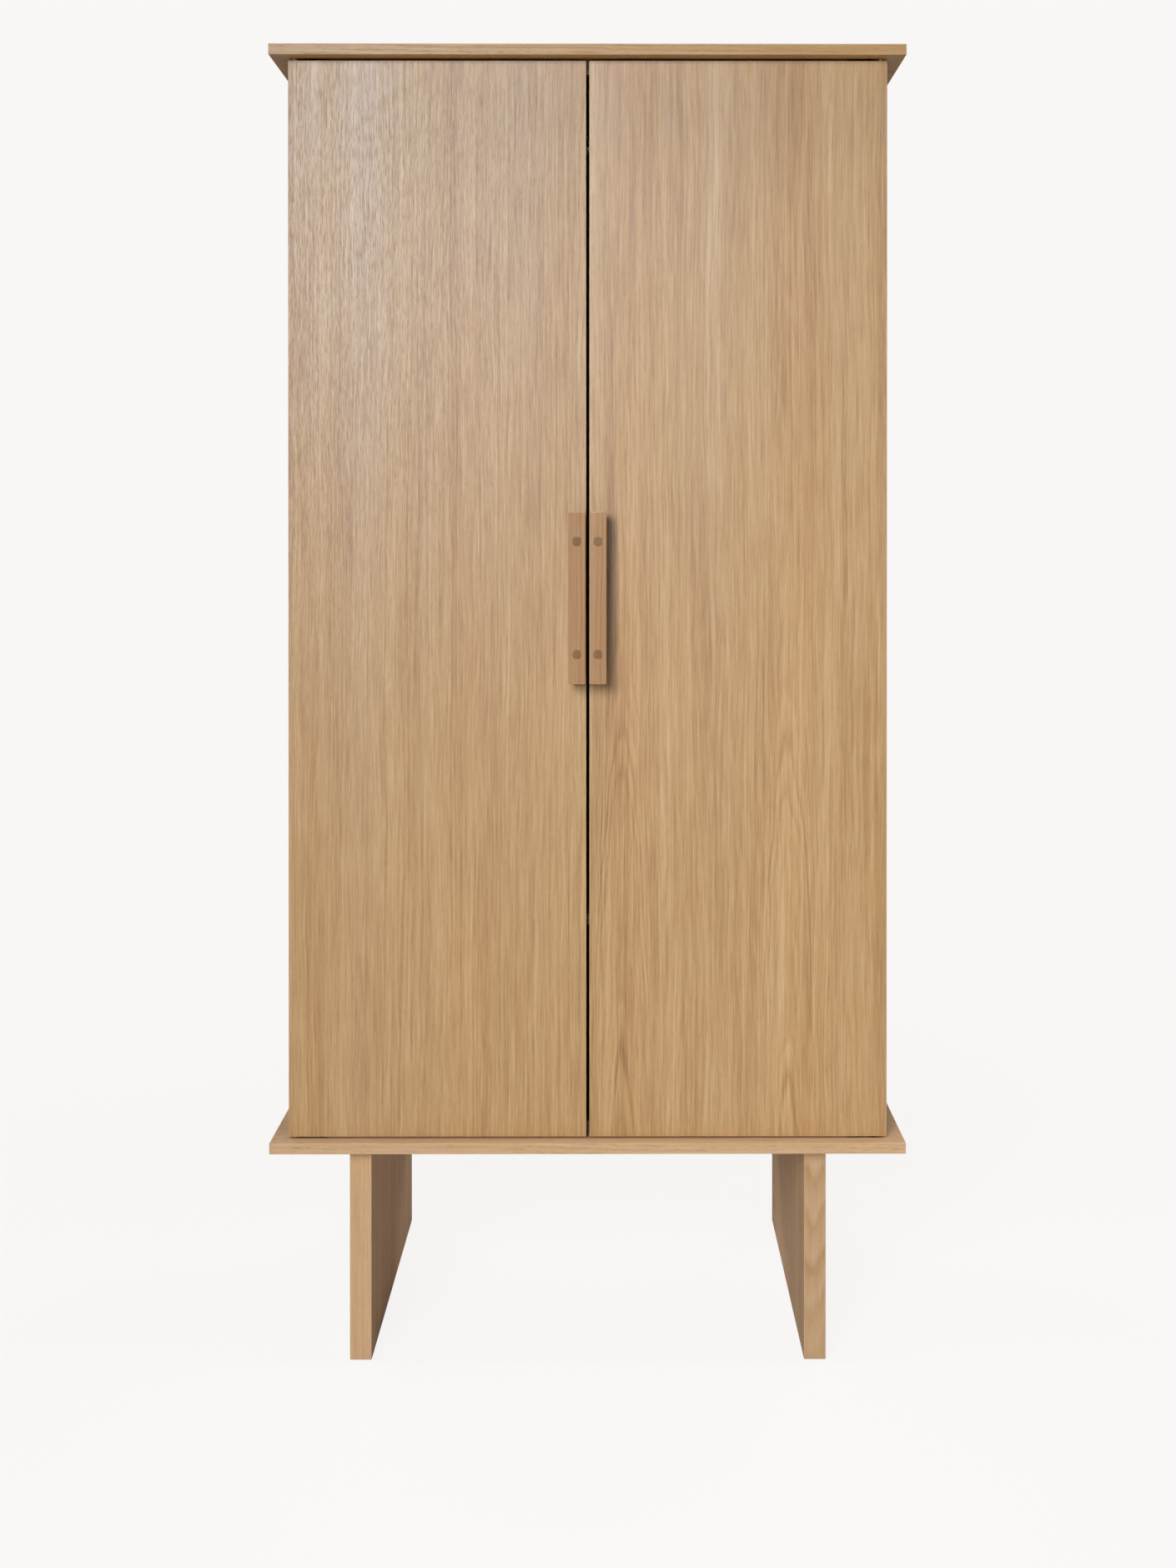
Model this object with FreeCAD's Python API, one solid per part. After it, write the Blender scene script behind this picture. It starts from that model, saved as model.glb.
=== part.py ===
import FreeCAD, Part
import math
import os

# Two-door oak wardrobe standing on two slab legs.
# Two side panels stand between an overhanging top and bottom board, with a back panel let into grooves.
# The doors cover the edges of the side panels and turn on knife hinges let into the two boards.
# Millimetres, +Z up, the front faces -Y, and the origin is on the floor under the middle of the whole.

# Carcass
body_width = 880.0            # over the outer faces of the side panels
body_height = 1588.0          # clear height between the top and bottom boards
board_depth = 550.0           # top and bottom boards, front to back
board_thickness = 16.0        # top and bottom boards
side_thickness = 16.0         # side panels
side_overhang = 25.0          # the boards past each side panel
arris_radius = 0.8            # eased edges of the boards and the shelf

# Back panel and the fixing rail in front of it
back_thickness = 8.0
back_inset = 12.0             # rear edge of the side panels to the back panel
groove_depth = 6.0
groove_play = 0.15
fixing_rail_thickness = 16.0
fixing_rail_height = 80.0
wall_hole_diameter = 6.0
wall_hole_spacing = 600.0

# Doors
door_thickness = 18.0
door_setback = 20.0           # front edge of the boards to the door faces
door_middle_gap = 4.5
door_top_gap = 3.5
door_bottom_gap = 2.5
door_heel_radius = 3.0        # back edge on the hinge side, rounded so that it can swing
door_arris_radius = 0.8
door_end_radius = 0.5
swing_clearance = 0.7         # heel of the turning door to the side panel

# Knife hinges
pin_inset = 8.0               # outer edge of the door to the pin's axis
pin_diameter = 5.0
pin_clearance = 0.05          # radial, in the door leaf and the washer
pin_tail = 6.0                # the pin past the door leaf
pin_bore_clearance = 0.4      # round the pin's tail, inside the door
leaf_length = 50.0            # pin's axis to the far end of a leaf
leaf_width = 12.0
leaf_thickness = 2.5
leaf_screw_first = 18.0       # pin's axis to the first screw
leaf_screw_pitch = 20.0
washer_diameter = 10.0
top_washer_play = 0.3

# Countersunk wood screws, in two lengths
screw_diameter = 3.5
screw_head_diameter = 7.0
screw_head_depth = 1.75
screw_length = 13.0           # hinges, sockets and strike plates
catch_screw_grip = 9.0        # the longer screws of the catches, past the catch
screw_slot_width = 1.0
screw_slot_length = 4.0
screw_slot_depth = 1.0

# Handles
handle_length = 250.0
handle_width = 25.0
handle_thickness = 20.0
handle_standoff = 18.0        # door face to the back of the bar
handle_edge_inset = 0.5       # meeting edge of the door to the bar
handle_rise = 3.5             # middle of the bar above the middle of the door
handle_arris_radius = 1.2
peg_diameter = 14.0           # through dowels of the handles
peg_spacing = 164.0
peg_depth = 12.0              # the dowel inside the door
peg_chamfer = 0.4
handle_screw_diameter = 4.0
handle_screw_grip = 16.0      # the screw inside the dowel
handle_screw_head_diameter = 8.0
handle_screw_head_height = 2.4

# Magnet catches
catch_length = 72.0
catch_depth = 14.0
catch_wall = 2.5              # round the magnets
catch_arris_radius = 1.0
catch_screw_spread = 12.0
magnet_length = 20.0
magnet_height = 7.0
magnet_depth = 5.0
magnet_spread = 44.0          # between the middles of the two magnets of a catch
strike_length = 30.0
strike_height = 12.0
strike_thickness = 1.5
strike_inset = 3.0            # top of the door to the strike plate
catch_gap = 0.3               # strike plate to magnet with the door shut

# Shelf and its pins
shelf_thickness = 16.0
shelf_rise = 309.0            # bottom board to the underside of the shelf
shelf_setback = 6.0           # front edge of the side panels to the shelf
shelf_side_play = 0.5
shelf_back_play = 0.8
shelf_pin_diameter = 5.0
shelf_pin_depth = 9.0
shelf_pin_reach = 9.0
shelf_pin_flat = 0.6
shelf_pin_inset = 50.0

# Hanging rail and its sockets
rail_diameter = 25.0
rail_wall = 1.5
rail_drop = 75.0              # top board to the rail's axis
rail_end_play = 0.5
rail_fit = 0.1
socket_flange_diameter = 52.0
socket_flange_thickness = 3.0
socket_cup_wall = 3.0
socket_cup_depth = 14.0
socket_screw_circle = 41.0

# Legs
leg_height = 313.0
leg_thickness = 32.0
leg_depth = 500.0
leg_setback = 25.0            # front edge of the bottom board to the leg
leg_inset = 114.0             # end of the bottom board to the leg
leg_arris_radius = 1.0
glide_thickness = 2.0
glide_diameter = 22.0
glide_inset = 45.0
glide_nail_diameter = 3.0
glide_nail_length = 14.0
bolt_diameter = 8.0
bolt_head_diameter = 16.0
bolt_head_height = 3.5
bolt_pitch = 160.0
bolt_hole_play = 0.3
bolt_key_size = 5.0
bolt_key_depth = 2.5
insert_wall = 2.0
insert_length = 22.0
insert_spare = 2.0            # the insert past the end of its bolt

# Wooden dowels and cam fittings
dowel_diameter = 8.0
dowel_in_board = 10.0
dowel_in_panel = 20.0
dowel_pitch = 32.0
cam_diameter = 15.0
cam_depth = 12.5
cam_distance = 24.0           # end of the side panel to the cam's axis
cam_inset = 70.0              # front and rear edges of the side panel to a cam
cam_slot_width = 1.6
cam_slot_length = 9.0
cam_slot_depth = 1.2
cam_bolt_diameter = 6.0
cam_bolt_in_board = 11.0
cam_bolt_play = 0.5

V = FreeCAD.Vector
ORIGIN = V(0, 0, 0)
ALONG_X = V(1, 0, 0)
ALONG_Y = V(0, 1, 0)
UP = V(0, 0, 1)
DOWN = V(0, 0, -1)
TOUCHING = 0.001              # closer than this counts as the same place

# Levels, from the floor up
leg_low = glide_thickness
leg_high = leg_low + leg_height
body_low = leg_high + board_thickness
body_high = body_low + body_height
body_middle = (body_low + body_high) / 2
total_height = body_high + board_thickness
door_low = body_low + door_bottom_gap
door_high = body_high - door_top_gap
shelf_low = body_low + shelf_rise
shelf_high = shelf_low + shelf_thickness
rail_level = body_high - rail_drop
handle_level = (door_low + door_high) / 2 + handle_rise
strike_level = door_high - strike_inset - strike_height / 2
catch_low = strike_level - magnet_height / 2 - catch_wall

# Depths, from the front back
handle_reach = handle_standoff + handle_thickness
total_depth = board_depth + max(handle_reach - door_setback, 0.0)
board_back = total_depth / 2
board_front = board_back - board_depth
door_front = board_front + door_setback
door_back = door_front + door_thickness
pin_y = door_front + door_thickness / 2
heel_across = pin_inset - door_heel_radius
heel_back = door_thickness / 2 - door_heel_radius
heel_reach = math.hypot(heel_across, heel_back) + door_heel_radius
side_front = pin_y + heel_reach + swing_clearance
side_back = board_back
side_middle = (side_front + side_back) / 2
back_rear = side_back - back_inset
back_front = back_rear - back_thickness
fixing_rail_front = back_front - fixing_rail_thickness
shelf_front = side_front + shelf_setback
shelf_back = back_front - shelf_back_play
rail_y = (side_front + back_front) / 2
leg_front = board_front + leg_setback
leg_back = leg_front + leg_depth
leg_middle = (leg_front + leg_back) / 2
strike_face = door_back + strike_thickness
catch_front = strike_face + catch_gap
handle_back = door_front - handle_standoff
handle_front = handle_back - handle_thickness

# Widths, from the middle out
half_body = body_width / 2
half_inside = half_body - side_thickness
half_board = half_body + side_overhang
half_gap = door_middle_gap / 2
pin_x = half_body - pin_inset
handle_inner = half_gap + handle_edge_inset
handle_outer = handle_inner + handle_width
handle_x = (handle_inner + handle_outer) / 2
magnet_x = magnet_spread / 2
leg_x = half_board - leg_inset - leg_thickness / 2


def box(x0, x1, y0, y1, z0, z1):
    return Part.makeBox(x1 - x0, y1 - y0, z1 - z0, V(x0, y0, z0))


def rod(start, direction, diameter, length):
    return Part.makeCylinder(diameter / 2, length, start, direction)


def tube(start, direction, outer, inner, length):
    return rod(start, direction, outer, length).cut(rod(start, direction, inner, length))


def eased(solid, radius):
    return solid.makeFillet(radius, solid.Edges)


def eased_upright(solid, radius):
    upright = [edge for edge in solid.Edges if edge.BoundBox.XLength + edge.BoundBox.YLength < TOUCHING]
    return solid.makeFillet(radius, upright)


def across(shape):
    """The same piece on the other side of the wardrobe."""
    return shape.mirror(ORIGIN, ALONG_X)


def top_for_bottom(shape):
    """The same piece at the other end of the body, top for bottom."""
    return shape.mirror(V(0, 0, body_middle), UP)


def flipped(shape):
    return shape.mirror(ORIGIN, UP)


def moved(shape, x, y, z):
    copy = shape.copy()
    copy.translate(V(x, y, z))
    return copy


def pointed(shape, place, direction):
    """A fastener modelled with its head at the origin and its tip down, put in place."""
    copy = shape.copy()
    copy.Placement = FreeCAD.Placement(place, FreeCAD.Rotation(DOWN, direction))
    return copy


def both_sides(shapes):
    return shapes + [across(shape) for shape in shapes]


def four_corners(shapes):
    """Pieces of the lower left corner, repeated at the other three."""
    left = shapes + [top_for_bottom(shape) for shape in shapes]
    return both_sides(left)


def cross_slots(width, length, depth):
    one = box(-length / 2, length / 2, -width / 2, width / 2, -depth, 0)
    return one.fuse(box(-width / 2, width / 2, -length / 2, length / 2, -depth, 0))


def save(name, shapes):
    solids = shapes if isinstance(shapes, list) else [shapes]
    shape = solids[0] if len(solids) == 1 else Part.makeCompound(solids)
    shape.exportStep("parts/%s.step" % name)


os.makedirs("parts", exist_ok=True)

# Fasteners, each with its head at the origin and its tip down

screw_cone = Part.makeCone(screw_head_diameter / 2, screw_diameter / 2, screw_head_depth, ORIGIN, DOWN)
screw_slots = cross_slots(screw_slot_width, screw_slot_length, screw_slot_depth)
screw_blank = screw_cone.fuse(rod(ORIGIN, DOWN, screw_diameter, screw_length)).removeSplitter()
wood_screw = screw_blank.cut(screw_slots)
catch_screw_length = body_high - catch_low + catch_screw_grip
catch_screw_blank = screw_cone.fuse(rod(ORIGIN, DOWN, screw_diameter, catch_screw_length)).removeSplitter()
catch_screw = catch_screw_blank.cut(screw_slots)

handle_screw_length = door_thickness - peg_depth + handle_screw_grip
handle_screw_shank = rod(ORIGIN, DOWN, handle_screw_diameter, handle_screw_length)
handle_screw_head = rod(ORIGIN, UP, handle_screw_head_diameter, handle_screw_head_height)
handle_screw_slots = moved(screw_slots, 0, 0, handle_screw_head_height)
handle_screw = handle_screw_shank.fuse(handle_screw_head).removeSplitter().cut(handle_screw_slots)

bolt_length = board_thickness + insert_length - insert_spare
hex_radius = bolt_key_size / math.sqrt(3)
hex_corners = [V(hex_radius * math.cos(math.radians(60 * corner)),
                 hex_radius * math.sin(math.radians(60 * corner)), 0) for corner in range(7)]
bolt_key = Part.Face(Part.makePolygon(hex_corners)).extrude(DOWN * bolt_key_depth)
bolt_head = rod(ORIGIN, DOWN, bolt_head_diameter, bolt_head_height)
leg_bolt = bolt_head.fuse(rod(ORIGIN, DOWN, bolt_diameter, bolt_length)).removeSplitter().cut(bolt_key)
bolt_clearance = bolt_diameter + 2 * bolt_hole_play
bolt_room = bolt_head.fuse(rod(ORIGIN, DOWN, bolt_clearance, board_thickness))

# Wooden dowels and cam fittings of the lower left corner, repeated at all four

cam_places = [side_front + cam_inset, side_back - cam_inset]
dowel_places = [side_front + cam_inset + dowel_pitch, side_middle, side_back - cam_inset - dowel_pitch]
panel_x = -half_body + side_thickness / 2
cam_level = body_low + cam_distance
dowel_length = dowel_in_board + dowel_in_panel
cam_bolt_bore = cam_bolt_diameter + 2 * cam_bolt_play
corner_dowels = [rod(V(panel_x, y, body_low - dowel_in_board), UP, dowel_diameter, dowel_length)
                 for y in dowel_places]
cam_blanks = [rod(V(-half_inside, y, cam_level), -ALONG_X, cam_diameter, cam_depth) for y in cam_places]
cam_bolt_foot = body_low - cam_bolt_in_board
cam_bolts_one = [rod(V(panel_x, y, cam_bolt_foot), UP, cam_bolt_diameter, cam_level - cam_bolt_foot)
                 for y in cam_places]
cam_bolt_rooms = [rod(V(panel_x, y, body_low), UP, cam_bolt_bore, cam_distance + cam_bolt_play)
                  for y in cam_places]
cam_slots = cross_slots(cam_slot_width, cam_slot_length, cam_slot_depth)
cam_slots_one = [pointed(cam_slots, V(-half_inside, y, cam_level), -ALONG_X) for y in cam_places]
cam_locks_one = []
for blank, room, slots in zip(cam_blanks, cam_bolt_rooms, cam_slots_one):
    cam_locks_one.append(blank.cut(room).cut(slots))

carcass_dowels = four_corners(corner_dowels)
cam_bolts = four_corners(cam_bolts_one)
cam_locks = four_corners(cam_locks_one)
joint_rooms = carcass_dowels + cam_bolts + four_corners(cam_blanks) + four_corners(cam_bolt_rooms)

# The fixing rail's own dowels run into the side panels

fixing_rail_low = body_high - fixing_rail_height
fixing_rail_y = (fixing_rail_front + back_front) / 2
fixing_dowel_start = -half_inside - dowel_in_board
fixing_rail_middle = body_high - fixing_rail_height / 2
fixing_dowel_levels = [fixing_rail_middle - dowel_pitch / 2, fixing_rail_middle + dowel_pitch / 2]
fixing_dowel_starts = [V(fixing_dowel_start, fixing_rail_y, level) for level in fixing_dowel_levels]
fixing_dowels = both_sides([rod(start, ALONG_X, dowel_diameter, dowel_length)
                            for start in fixing_dowel_starts])
wall_hole_start = V(-wall_hole_spacing / 2, fixing_rail_front, fixing_rail_middle)
wall_holes = both_sides([rod(wall_hole_start, ALONG_Y, wall_hole_diameter, back_rear - fixing_rail_front)])

# Back panel, and the groove that it slides into

back_lap = groove_depth - groove_play
back_panel = box(-half_inside - back_lap, half_inside + back_lap, back_front, back_rear,
                 body_low - back_lap, body_high + back_lap).cut(wall_holes)
groove = box(-half_inside - groove_depth, half_inside + groove_depth,
             back_front - groove_play, back_rear + groove_play,
             body_low - groove_depth, body_high + groove_depth)
fixing_rail = box(-half_inside, half_inside, fixing_rail_front, back_front,
                  fixing_rail_low, body_high).cut(fixing_dowels + wall_holes)

# Knife hinges: a leaf lies along +X from the pin, with its exposed face up at Z = 0

leaf_outline = box(0, leaf_length, -leaf_width / 2, leaf_width / 2, -leaf_thickness, 0)
leaf_outline = leaf_outline.fuse(rod(ORIGIN, DOWN, leaf_width, leaf_thickness)).removeSplitter()
leaf_screw_places = [V(leaf_screw_first, 0, 0), V(leaf_screw_first + leaf_screw_pitch, 0, 0)]
leaf_screw_blanks = [pointed(screw_blank, place, DOWN) for place in leaf_screw_places]
leaf_screws = Part.makeCompound([pointed(wood_screw, place, DOWN) for place in leaf_screw_places])
running_bore = pin_diameter + 2 * pin_clearance
leaf_blank = leaf_outline.cut(leaf_screw_blanks)
board_leaf = leaf_blank.cut(rod(ORIGIN, DOWN, pin_diameter, leaf_thickness))
door_leaf = leaf_blank.cut(rod(ORIGIN, DOWN, running_bore, leaf_thickness))
leaf_room = leaf_outline.fuse(leaf_screw_blanks)
tail_depth = leaf_thickness + pin_tail + pin_bore_clearance
tail_room = rod(ORIGIN, DOWN, pin_diameter + 2 * pin_bore_clearance, tail_depth)


def hinge_end(board_level, door_level, end_turn):
    """One knife hinge of the left door: its pieces, and the rooms cut for them in board and door."""
    def on_board(shape):
        return moved(flipped(shape) if end_turn < 0 else shape, -pin_x, pin_y, board_level)

    def in_door(shape):
        return moved(shape if end_turn < 0 else flipped(shape), -pin_x, pin_y, door_level)

    gap = abs(door_level - board_level)
    play = top_washer_play if end_turn < 0 else 0.0
    pin_length = 2 * leaf_thickness + gap + pin_tail
    return {
        "board_leaf": on_board(board_leaf),
        "door_leaf": in_door(door_leaf),
        "pin": on_board(rod(V(0, 0, -leaf_thickness), UP, pin_diameter, pin_length)),
        "washer": on_board(tube(ORIGIN, UP, washer_diameter, running_bore, gap - play)),
        "board_screws": on_board(leaf_screws),
        "door_screws": in_door(leaf_screws),
        "board_room": on_board(leaf_room),
        "door_room": in_door(leaf_room.fuse(tail_room)),
    }


hinges = {
    "top": hinge_end(body_high, door_high, -1),
    "bottom": hinge_end(body_low, door_low, 1),
}
for end, hinge in hinges.items():
    for piece in ["board_leaf", "door_leaf", "pin", "washer"]:
        save("left_%s_hinge_%s" % (end, piece), hinge[piece])
        save("right_%s_hinge_%s" % (end, piece), across(hinge[piece]))
board_leaf_screws = [solid for hinge in hinges.values() for solid in hinge["board_screws"].Solids]
save("hinge_board_screws", both_sides(board_leaf_screws))

# Magnet catches at the top and the bottom of the meeting edges

catch_back = catch_front + catch_depth
catch_screw_y = (catch_front + catch_back) / 2
catch_block = eased(box(-catch_length / 2, catch_length / 2, catch_front, catch_back, catch_low, body_high),
                    catch_arris_radius)
catch_screw_places = [V(-catch_screw_spread / 2, catch_screw_y, catch_low),
                      V(catch_screw_spread / 2, catch_screw_y, catch_low)]
top_catch_screws = [pointed(catch_screw, place, UP) for place in catch_screw_places]
top_catch_screw_blanks = [pointed(catch_screw_blank, place, UP) for place in catch_screw_places]
magnet = box(-magnet_x - magnet_length / 2, -magnet_x + magnet_length / 2, catch_front,
             catch_front + magnet_depth, strike_level - magnet_height / 2, strike_level + magnet_height / 2)
top_magnets = both_sides([magnet])
top_catch = catch_block.cut(top_magnets + top_catch_screw_blanks)
save("top_catch", top_catch)
save("bottom_catch", top_for_bottom(top_catch))
save("catch_magnets", top_magnets + [top_for_bottom(shape) for shape in top_magnets])
save("catch_screws", top_catch_screws + [top_for_bottom(shape) for shape in top_catch_screws])
bottom_catch_screw_blanks = [top_for_bottom(shape) for shape in top_catch_screw_blanks]

strike_blank = box(-magnet_x - strike_length / 2, -magnet_x + strike_length / 2, door_back, strike_face,
                   strike_level - strike_height / 2, strike_level + strike_height / 2)
strike_place = V(-magnet_x, strike_face, strike_level)
strike_screw_blank = pointed(screw_blank, strike_place, -ALONG_Y)
strike_screw = pointed(wood_screw, strike_place, -ALONG_Y)
top_strike = strike_blank.cut(strike_screw_blank)
strikes = [top_strike, top_for_bottom(top_strike)]
strike_screws = [strike_screw, top_for_bottom(strike_screw)]
strike_screw_blanks = [strike_screw_blank, top_for_bottom(strike_screw_blank)]

# Handle of the left door: an upright bar on two through dowels, each held by a screw from behind

peg_levels = [handle_level - peg_spacing / 2, handle_level + peg_spacing / 2]
peg_length = handle_reach + peg_depth
peg_blanks = []
pegs = []
handle_screws = []
handle_screw_bores = []
for level in peg_levels:
    peg_blank = rod(V(-handle_x, handle_front, level), ALONG_Y, peg_diameter, peg_length)
    face_edge = [edge for edge in peg_blank.Edges if abs(edge.CenterOfMass.y - handle_front) < TOUCHING]
    screw_place = V(-handle_x, door_back, level)
    screw_bore = pointed(handle_screw_shank, screw_place, -ALONG_Y)
    peg_blanks.append(peg_blank)
    handle_screw_bores.append(screw_bore)
    pegs.append(peg_blank.makeChamfer(peg_chamfer, face_edge).cut(screw_bore))
    handle_screws.append(pointed(handle_screw, screw_place, -ALONG_Y))
handle_bar = eased(box(-handle_outer, -handle_inner, handle_front, handle_back,
                       handle_level - handle_length / 2, handle_level + handle_length / 2),
                   handle_arris_radius).cut(peg_blanks)

# Left door: a flat leaf with a rounded heel on the hinge side, and rooms for its hardware

def corner_arc(centre, radius, start_angle):
    points = []
    for turn in (0, 45, 90):
        angle = math.radians(start_angle + turn)
        points.append(V(centre.x + radius * math.cos(angle), centre.y + radius * math.sin(angle), centre.z))
    return Part.Arc(*points)


def door_plan(level):
    """The door seen from above: three eased corners and the rounded heel."""
    ease = door_arris_radius
    heel = door_heel_radius
    arcs = [
        corner_arc(V(-half_gap - ease, door_back - ease, level), ease, 0),
        corner_arc(V(-half_body + heel, door_back - heel, level), heel, 90),
        corner_arc(V(-half_body + ease, door_front + ease, level), ease, 180),
        corner_arc(V(-half_gap - ease, door_front + ease, level), ease, 270),
    ]
    edges = []
    for arc, following in zip(arcs, arcs[1:] + arcs[:1]):
        edges.append(arc.toShape())
        edges.append(Part.makeLine(arc.EndPoint, following.StartPoint))
    return Part.Wire(edges)


door_blank = Part.Face(door_plan(door_low)).extrude(UP * (door_high - door_low))
end_edges = [edge for edge in door_blank.Edges
             if min(abs(edge.CenterOfMass.z - door_low), abs(edge.CenterOfMass.z - door_high)) < TOUCHING]
door_blank = door_blank.makeFillet(door_end_radius, end_edges)
door_rooms = peg_blanks + handle_screw_bores + strike_screw_blanks
door_rooms = door_rooms + [hinge["door_room"] for hinge in hinges.values()]
door = door_blank.cut(door_rooms)
door_leaf_screws = [solid for hinge in hinges.values() for solid in hinge["door_screws"].Solids]
left_door_pieces = {
    "door": [door],
    "handle_bar": [handle_bar],
    "handle_dowels": pegs,
    "handle_screws": handle_screws,
    "strike_plates": strikes,
    "door_screws": door_leaf_screws + strike_screws,
}
for piece, solids in left_door_pieces.items():
    save("left_" + piece, solids)
    save("right_" + piece, [across(solid) for solid in solids])

# Legs, with the bolts, inserts and dowels that hold them and the glides under them

bolt_places = [leg_middle - bolt_pitch, leg_middle, leg_middle + bolt_pitch]
leg_dowel_places = [leg_middle - bolt_pitch / 2, leg_middle + bolt_pitch / 2]
insert_diameter = bolt_diameter + 2 * insert_wall
leg_bolts = both_sides([pointed(leg_bolt, V(-leg_x, y, body_low), DOWN) for y in bolt_places])
bolt_rooms = both_sides([pointed(bolt_room, V(-leg_x, y, body_low), DOWN) for y in bolt_places])
inserts = [tube(V(-leg_x, y, leg_high), DOWN, insert_diameter, bolt_diameter, insert_length)
           for y in bolt_places]
insert_rooms = [rod(V(-leg_x, y, leg_high), DOWN, insert_diameter, insert_length) for y in bolt_places]
leg_dowels = [rod(V(-leg_x, y, leg_high - dowel_in_panel), UP, dowel_diameter, dowel_length)
              for y in leg_dowel_places]
glide_places = [leg_front + glide_inset, leg_back - glide_inset]
glides = []
for y in glide_places:
    disc = rod(V(-leg_x, y, 0), UP, glide_diameter, glide_thickness)
    nail = rod(V(-leg_x, y, 0), UP, glide_nail_diameter, glide_thickness + glide_nail_length)
    glides.append(disc.fuse(nail).removeSplitter())
left_leg = eased(box(-leg_x - leg_thickness / 2, -leg_x + leg_thickness / 2, leg_front, leg_back,
                     leg_low, leg_high), leg_arris_radius)
left_leg = left_leg.cut(insert_rooms + leg_dowels + glides)
save("left_leg", left_leg)
save("right_leg", across(left_leg))
save("leg_bolts", leg_bolts)
save("leg_inserts", both_sides(inserts))
save("leg_dowels", both_sides(leg_dowels))
save("leg_glides", both_sides(glides))

# Shelf on its pins

shelf = eased(box(-half_inside + shelf_side_play, half_inside - shelf_side_play, shelf_front, shelf_back,
                  shelf_low, shelf_high), arris_radius)
shelf_pin_level = shelf_low - shelf_pin_diameter / 2 + shelf_pin_flat
shelf_pin_places = [side_front + shelf_pin_inset, back_front - shelf_pin_inset]
shelf_pin_length = shelf_pin_depth + shelf_pin_reach
shelf_pin_blanks = [rod(V(-half_inside - shelf_pin_depth, y, shelf_pin_level), ALONG_X,
                        shelf_pin_diameter, shelf_pin_length) for y in shelf_pin_places]
above_pins = box(-half_inside, -half_inside + shelf_pin_reach, side_front, back_front,
                 shelf_low, shelf_low + shelf_pin_diameter)
shelf_pins = [blank.cut(above_pins) for blank in shelf_pin_blanks]
save("shelf", shelf)
save("shelf_pins", both_sides(shelf_pins))

# Hanging rail in its two sockets

socket_start = V(-half_inside, rail_y, rail_level)
socket_cup_outer = rail_diameter + 2 * rail_fit + 2 * socket_cup_wall
socket_flange = rod(socket_start, ALONG_X, socket_flange_diameter, socket_flange_thickness)
socket_cup = rod(socket_start, ALONG_X, socket_cup_outer, socket_flange_thickness + socket_cup_depth)
socket_bore = rod(V(-half_inside + socket_flange_thickness, rail_y, rail_level), ALONG_X,
                  rail_diameter + 2 * rail_fit, socket_cup_depth)
socket_face = -half_inside + socket_flange_thickness
socket_screw_places = [V(socket_face, rail_y, rail_level + side * socket_screw_circle / 2)
                       for side in (-1, 1)]
socket_screws = [pointed(wood_screw, place, -ALONG_X) for place in socket_screw_places]
socket_screw_blanks = [pointed(screw_blank, place, -ALONG_X) for place in socket_screw_places]
left_socket = socket_flange.fuse(socket_cup).removeSplitter().cut([socket_bore] + socket_screw_blanks)
rail_half = half_inside - socket_flange_thickness - rail_end_play
hanging_rail = tube(V(-rail_half, rail_y, rail_level), ALONG_X, rail_diameter,
                    rail_diameter - 2 * rail_wall, 2 * rail_half)
save("left_rail_socket", left_socket)
save("right_rail_socket", across(left_socket))
save("rail_socket_screws", both_sides(socket_screws))
save("hanging_rail", hanging_rail)

# Carcass boards, with a room for everything that is let into them

left_side = eased_upright(box(-half_body, -half_inside, side_front, side_back, body_low, body_high),
                          arris_radius)
left_side = left_side.cut([groove] + joint_rooms + fixing_dowels + shelf_pin_blanks + socket_screw_blanks)
bottom_blank = eased(box(-half_board, half_board, board_front, board_back, leg_high, body_low), arris_radius)
top_blank = top_for_bottom(bottom_blank)
bottom_rooms = bolt_rooms + both_sides(leg_dowels) + bottom_catch_screw_blanks
bottom_hinge_rooms = both_sides([hinges["bottom"]["board_room"]])
top_hinge_rooms = both_sides([hinges["top"]["board_room"]])
bottom_board = bottom_blank.cut([groove] + joint_rooms + bottom_rooms + bottom_hinge_rooms)
top_board = top_blank.cut([groove] + joint_rooms + top_catch_screw_blanks + top_hinge_rooms)
save("left_side_panel", left_side)
save("right_side_panel", across(left_side))
save("top_board", top_board)
save("bottom_board", bottom_board)
save("back_panel", back_panel)
save("fixing_rail", fixing_rail)
save("carcass_dowels", carcass_dowels + fixing_dowels)
save("cam_bolts", cam_bolts)
save("cam_locks", cam_locks)

print("size %.1f wide, %.1f deep, %.1f high" % (2 * half_board, total_depth, total_height))
print("door %.2f wide, %.1f high, hinge axis at x %.1f, y %.2f" % (
    half_body - half_gap, door_high - door_low, pin_x, pin_y))
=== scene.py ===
# %% [markdown]
# # A two-door oak wardrobe on slab legs
# The construction is already packed as a frame of CAD nodes: boards, doors, legs, handles and fittings,
# each at its real size. This lesson gives them their looks. A wardrobe like this is all flat boards, so
# its character is in the wood: the run of the grain, the pores, the satin lacquer and the light on it.
# Every shape, down to the eased edges, comes from the CAD, so no mesh of the wardrobe is changed here.

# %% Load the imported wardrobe
import math

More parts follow.
